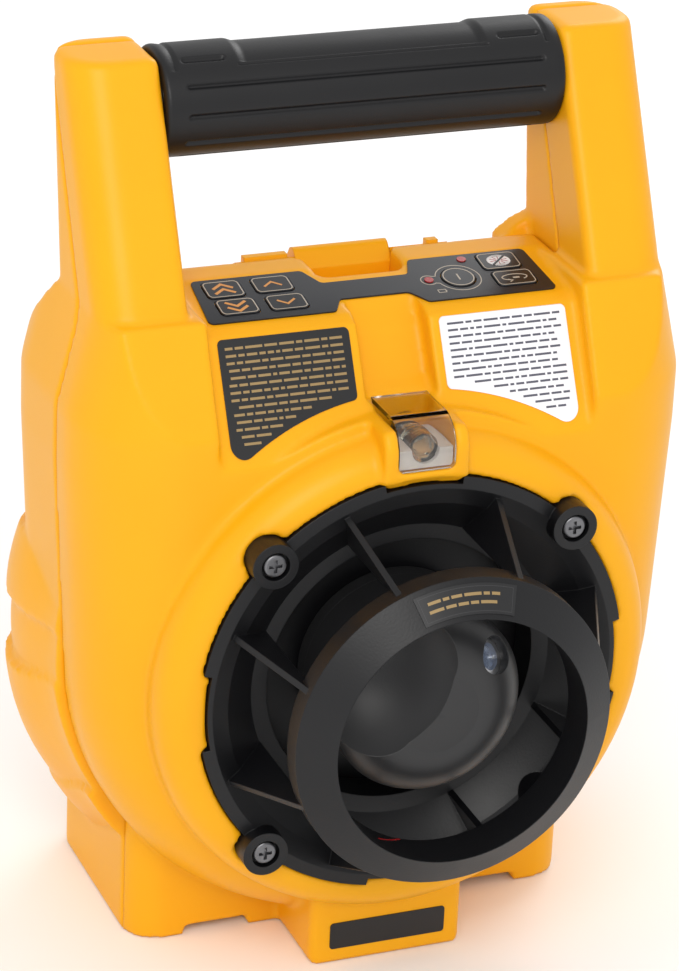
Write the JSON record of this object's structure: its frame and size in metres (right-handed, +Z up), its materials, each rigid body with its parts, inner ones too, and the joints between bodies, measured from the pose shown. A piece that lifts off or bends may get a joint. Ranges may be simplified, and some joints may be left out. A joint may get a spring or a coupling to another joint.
{
  "type": "rotating laser level",
  "caption": "Rotating laser level with a two-shell housing, carry handle, ribbed head guard, keypad, bubble vial and hinged battery door.",
  "frame": {"origin": "middle of the bottom tripod thread's mouth, in the plane of the feet", "axes": "+Z up, -Y is the front where the rotary head's guard is, +Y the flat back, X along the handle"},
  "size_m": [0.2096, 0.1614, 0.2945],
  "materials": {
    "yellow_shell": "glossy moulded housing plastic with a fine grain",
    "black_plastic": "matt black moulded plastic",
    "rotor_plastic": "satin black moulded plastic",
    "grip_rubber": "soft ribbed grip",
    "keypad_film": "printed keypad film with satin face",
    "key_film": "embossed film key",
    "label_dark": "printed dark label film",
    "label_light": "printed white label film",
    "guard_film": "blank dark label film with a thin border",
    "screw_steel": "zinc plated steel",
    "machined_steel": "turned steel",
    "bearing_steel": "ground bearing steel",
    "aluminium": "machined aluminium",
    "lamp_red": "red lamp lens",
    "circuit_board": "green circuit board",
    "clear_plastic": "clear moulded plastic",
    "vial_glass": "clear vial",
    "vial_fluid": "pale vial fluid",
    "white_plastic": "white backing",
    "lens_glass": "coated lens glass",
    "belt_rubber": "drive belt",
    "motor_can": "motor can",
    "cell_jacket": "plain battery jacket",
    "contact_brass": "spring contact strip"
  },
  "bodies": {
    "housing": {"front_housing": "yellow_shell", "rear_housing": "yellow_shell", "handle_core": "aluminium", "handle_grip": "grip_rubber", "head_guard": "black_plastic", "guard_screws": "screw_steel", "guard_label": "guard_film", "keypad_overlay": "keypad_film", "standby_led": "lamp_red", "power_led": "lamp_red", "key_pcb": "circuit_board", "key_domes": "machined_steel", "label_left": "label_dark", "label_right": "label_light", "badge_label": "label_dark", "vial_window": "clear_plastic", "vial_tube": "vial_glass", "vial_liquid": "vial_fluid", "vial_backing": "white_plastic", "spindle_bearings": "bearing_steel", "bearing_carrier": "black_plastic", "carrier_screws": "screw_steel", "motor": "motor_can", "drive_belt": "belt_rubber", "laser_bracket": "aluminium", "laser_module": "motor_can", "collimator_lens": "lens_glass", "main_pcb": "circuit_board", "pcb_screws": "screw_steel", "battery_tray": "black_plastic", "battery_cells": "cell_jacket", "battery_contacts": "contact_brass", "hinge_pin": "machined_steel", "tripod_insert_bottom": "aluminium", "tripod_insert_back": "aluminium", "housing_screws": "screw_steel"},
    "rotor": {"rotor_cup": "rotor_plastic", "rotor_base": "rotor_plastic", "aperture_barrel": "aluminium", "aperture_lens": "lens_glass", "pentaprism": "lens_glass", "rotor_spindle": "machined_steel", "rotor_pulley": "aluminium"},
    "motor_armature": {"motor_shaft": "machined_steel", "motor_pulley": "aluminium"},
    "door": {"battery_door": "yellow_shell", "latch_spring": "machined_steel"},
    "latch": {"door_latch": "yellow_shell"},
    "power_button": {"key_power": "key_film"},
    "double_up_button": {"key_double_up": "key_film"},
    "up_button": {"key_up": "key_film"},
    "double_down_button": {"key_double_down": "key_film"},
    "down_button": {"key_down": "key_film"},
    "standby_button": {"key_standby": "key_film"},
    "speed_button": {"key_speed": "key_film"}
  },
  "joints": [
    {"name": "rotor_spin", "type": "hinge", "parent": "housing", "child": "rotor", "pos_m": [0, -0.06, 0.104], "axis": [0, 1, 0], "continuous": true},
    {"name": "motor_spin", "type": "hinge", "parent": "housing", "child": "motor_armature", "pos_m": [0, -0.02, 0.062], "axis": [0, 1, 0], "continuous": true},
    {"name": "door_hinge", "type": "hinge", "parent": "housing", "child": "door", "pos_m": [0, 0.045, 0.106], "axis": [-1, 0, 0], "range_deg": [0, 90]},
    {"name": "latch_slide", "type": "slide", "parent": "door", "child": "latch", "axis": [0, 1, 0], "range_m": [0, 0.002], "stiffness_N_per_m": 1500},
    {"name": "power_press", "type": "slide", "parent": "housing", "child": "power_button", "axis": [0, 0.184, -0.9829], "range_m": [0, 0.00045], "stiffness_N_per_m": 4000},
    {"name": "double_up_press", "type": "slide", "parent": "housing", "child": "double_up_button", "axis": [0, 0.184, -0.9829], "range_m": [0, 0.00045], "stiffness_N_per_m": 4000},
    {"name": "up_press", "type": "slide", "parent": "housing", "child": "up_button", "axis": [0, 0.184, -0.9829], "range_m": [0, 0.00045], "stiffness_N_per_m": 4000},
    {"name": "double_down_press", "type": "slide", "parent": "housing", "child": "double_down_button", "axis": [0, 0.184, -0.9829], "range_m": [0, 0.00045], "stiffness_N_per_m": 4000},
    {"name": "down_press", "type": "slide", "parent": "housing", "child": "down_button", "axis": [0, 0.184, -0.9829], "range_m": [0, 0.00045], "stiffness_N_per_m": 4000},
    {"name": "standby_press", "type": "slide", "parent": "housing", "child": "standby_button", "axis": [0, 0.184, -0.9829], "range_m": [0, 0.00045], "stiffness_N_per_m": 4000},
    {"name": "speed_press", "type": "slide", "parent": "housing", "child": "speed_button", "axis": [0, 0.184, -0.9829], "range_m": [0, 0.00045], "stiffness_N_per_m": 4000}
  ],
  "couplings": [
    {"joint": "motor_spin", "follows": "rotor_spin", "ratio": 3.3333}
  ]
}
